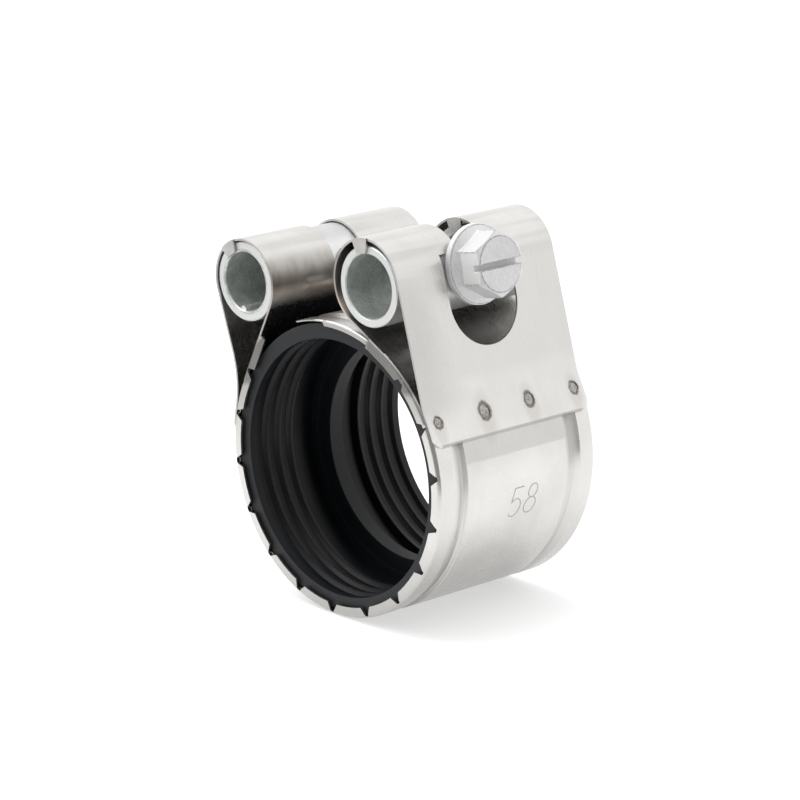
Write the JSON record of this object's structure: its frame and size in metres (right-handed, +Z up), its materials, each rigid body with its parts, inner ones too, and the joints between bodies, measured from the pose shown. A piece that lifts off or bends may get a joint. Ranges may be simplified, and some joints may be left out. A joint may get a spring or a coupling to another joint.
{
  "type": "no hub coupling",
  "caption": "Pipe coupling with a ribbed rubber sleeve in a notched sheet steel band, closed on top by a flange bolt through cross tubes held in folded legs.",
  "frame": {"origin": "centre of the front pipe seat at the sleeve's front face, on the pipe axis", "axes": "+Y along the pipe axis to the rear, +Z up to the lock, +X to the bolt head"},
  "size_m": [0.0683, 0.048, 0.0856],
  "materials": {
    "band_steel": "brushed stainless",
    "plate_steel": "brushed stainless",
    "sleeve_rubber": "satin black rubber",
    "tube_zinc": "zinc plated",
    "bolt_zinc": "grainy zinc plating"
  },
  "bodies": {
    "coupling": {"casing": "band_steel", "sealing_sleeve": "sleeve_rubber", "bridge_plate": "plate_steel", "slotted_tube": "tube_zinc"},
    "swing_tube": {"threaded_tube": "tube_zinc"},
    "bolt": {"clamp_bolt": "bolt_zinc"}
  },
  "joints": [
    {"name": "lock_swing", "type": "hinge", "parent": "coupling", "child": "swing_tube", "pos_m": [-0.0239, 0.0229, 0.0412], "axis": [0, -1, 0], "range_deg": [-1.6, 73.4]},
    {"name": "bolt_turn", "type": "hinge", "parent": "swing_tube", "child": "bolt", "pos_m": [-0.0239, 0.0229, 0.0412], "axis": [0.9996, 0, 0.0279], "continuous": true}
  ]
}
